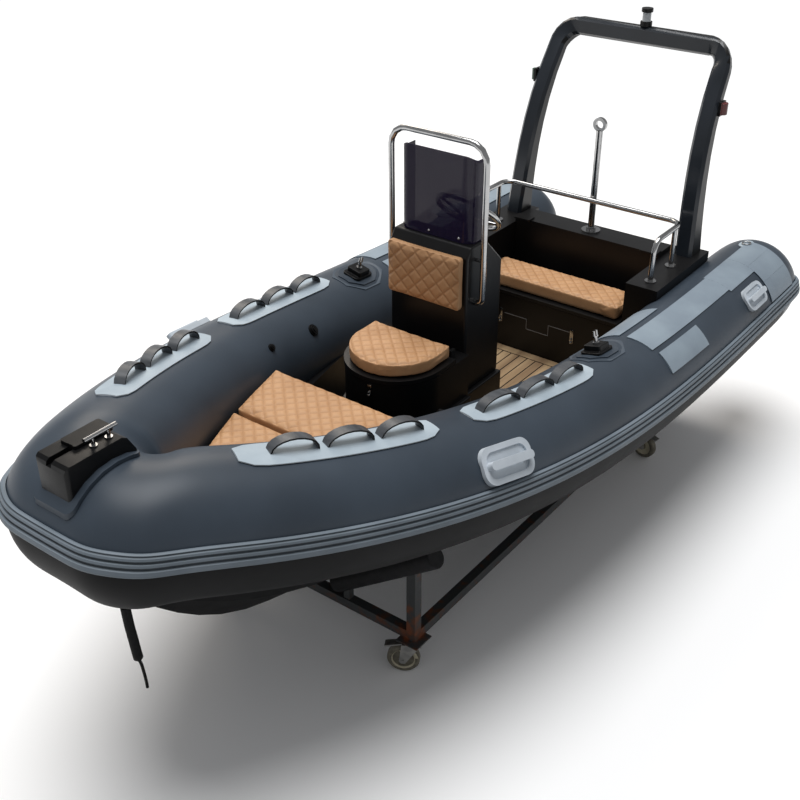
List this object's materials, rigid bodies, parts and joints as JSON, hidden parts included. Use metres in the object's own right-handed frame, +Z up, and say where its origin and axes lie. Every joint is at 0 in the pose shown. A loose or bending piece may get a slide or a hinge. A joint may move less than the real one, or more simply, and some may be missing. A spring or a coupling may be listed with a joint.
{
  "type": "rigid inflatable boat on a wheeled cradle",
  "caption": "Rigid inflatable tender with a centre console, seats with locker lids, a roll bar and a tow post, standing on a steel cradle with swivel casters.",
  "frame": {"origin": "on the floor under the middle of the whole object's box", "axes": "+X forward to the bow, +Y to port, +Z up"},
  "size_m": [3.8971, 1.8408, 1.94],
  "materials": {
    "gelcoat": "glossy black gelcoat",
    "teak": "weathered planks with dark caulk lines",
    "tube_fabric": "satin coated fabric, charcoal blue-grey",
    "strake_rubber": "satin grey ridged rubber",
    "panel_fabric": "light grey coated fabric",
    "patch_fabric": "pale grey coated fabric",
    "webbing": "dark woven webbing",
    "black_plastic": "matt black moulding",
    "stainless": "polished stainless steel",
    "rope": "dark rope in a sleeve",
    "tan_vinyl": "quilted tan vinyl",
    "tint": "dark tinted acrylic",
    "bar_paint": "charcoal moulding",
    "lens": "white lamp",
    "rusty_steel": "dark paint with rust",
    "bunk_pad": "black foam sleeve",
    "zinc": "zinc-plated pressed steel",
    "caster_tread": "cream nylon"
  },
  "bodies": {
    "boat_on_cradle": {"hull": "gelcoat", "transom": "gelcoat", "teak_floor": "teak", "inflatable_tube": "tube_fabric", "rub_strake": "strake_rubber", "side_panels": "panel_fabric", "grab_patches": "patch_fabric", "grab_loops": "webbing", "lifting_handles": "patch_fabric", "oarlocks": "black_plastic", "oarlock_pins": "stainless", "bow_step": "black_plastic", "bow_cleat": "stainless", "bow_eye": "stainless", "painter_rope": "rope", "sun_pad_rear": "tan_vinyl", "sun_pad_front": "tan_vinyl", "console_plinth": "gelcoat", "console": "gelcoat", "windshield": "tint", "console_hoop": "stainless", "console_backrest": "tan_vinyl", "seat_locker": "gelcoat", "bench_locker": "gelcoat", "stern_deck": "gelcoat", "stern_rail": "stainless", "tow_post": "stainless", "roll_bar": "bar_paint", "masthead_light": "lens", "side_lights": "black_plastic", "cradle_frame": "rusty_steel", "cradle_bunks": "bunk_pad"},
    "helm": {"steering_wheel": "stainless"},
    "seat_lid_body": {"seat_lid": "gelcoat", "seat_cushion": "tan_vinyl"},
    "bench_lid_body": {"bench_lid": "gelcoat", "bench_cushion": "tan_vinyl"},
    "fork_front_port": {"caster_fork_front_port": "zinc"},
    "wheel_front_port": {"caster_wheel_front_port": "caster_tread"},
    "fork_front_starboard": {"caster_fork_front_starboard": "zinc"},
    "wheel_front_starboard": {"caster_wheel_front_starboard": "caster_tread"},
    "fork_rear_port": {"caster_fork_rear_port": "zinc"},
    "wheel_rear_port": {"caster_wheel_rear_port": "caster_tread"},
    "fork_rear_starboard": {"caster_fork_rear_starboard": "zinc"},
    "wheel_rear_starboard": {"caster_wheel_rear_starboard": "caster_tread"}
  },
  "joints": [
    {"name": "steering", "type": "hinge", "parent": "boat_on_cradle", "child": "helm", "pos_m": [-0.14, 0, 1.318], "axis": [-0.7071, 0, 0.7071], "range_deg": [-540, 540]},
    {"name": "seat_lid_hinge", "type": "hinge", "parent": "boat_on_cradle", "child": "seat_lid_body", "pos_m": [0.116, 0, 0.964], "axis": [0, -1, 0], "range_deg": [0, 75]},
    {"name": "bench_lid_hinge", "type": "hinge", "parent": "boat_on_cradle", "child": "bench_lid_body", "pos_m": [-1.15, 0, 0.734], "axis": [0, -1, 0], "range_deg": [0, 70]},
    {"name": "swivel_front_port", "type": "hinge", "parent": "boat_on_cradle", "child": "fork_front_port", "pos_m": [0.81, 0.495, 0.156], "axis": [0, 0, 1], "continuous": true},
    {"name": "roll_front_port", "type": "hinge", "parent": "fork_front_port", "child": "wheel_front_port", "pos_m": [0.829, 0.46209, 0.0625], "axis": [0.866, 0.5, 0], "continuous": true},
    {"name": "swivel_front_starboard", "type": "hinge", "parent": "boat_on_cradle", "child": "fork_front_starboard", "pos_m": [0.81, -0.495, 0.156], "axis": [0, 0, 1], "continuous": true},
    {"name": "roll_front_starboard", "type": "hinge", "parent": "fork_front_starboard", "child": "wheel_front_starboard", "pos_m": [0.84444, -0.47894, 0.0625], "axis": [-0.4226, 0.9063, 0], "continuous": true},
    {"name": "swivel_rear_port", "type": "hinge", "parent": "boat_on_cradle", "child": "fork_rear_port", "pos_m": [-1.04, 0.495, 0.156], "axis": [0, 0, 1], "continuous": true},
    {"name": "roll_rear_port", "type": "hinge", "parent": "fork_rear_port", "child": "wheel_rear_port", "pos_m": [-1.0334, 0.53242, 0.0625], "axis": [-0.9848, 0.1736, 0], "continuous": true},
    {"name": "swivel_rear_starboard", "type": "hinge", "parent": "boat_on_cradle", "child": "fork_rear_starboard", "pos_m": [-1.04, -0.495, 0.156], "axis": [0, 0, 1], "continuous": true},
    {"name": "roll_rear_starboard", "type": "hinge", "parent": "fork_rear_starboard", "child": "wheel_rear_starboard", "pos_m": [-1.0033, -0.50484, 0.0625], "axis": [0.2588, 0.9659, 0], "continuous": true}
  ]
}
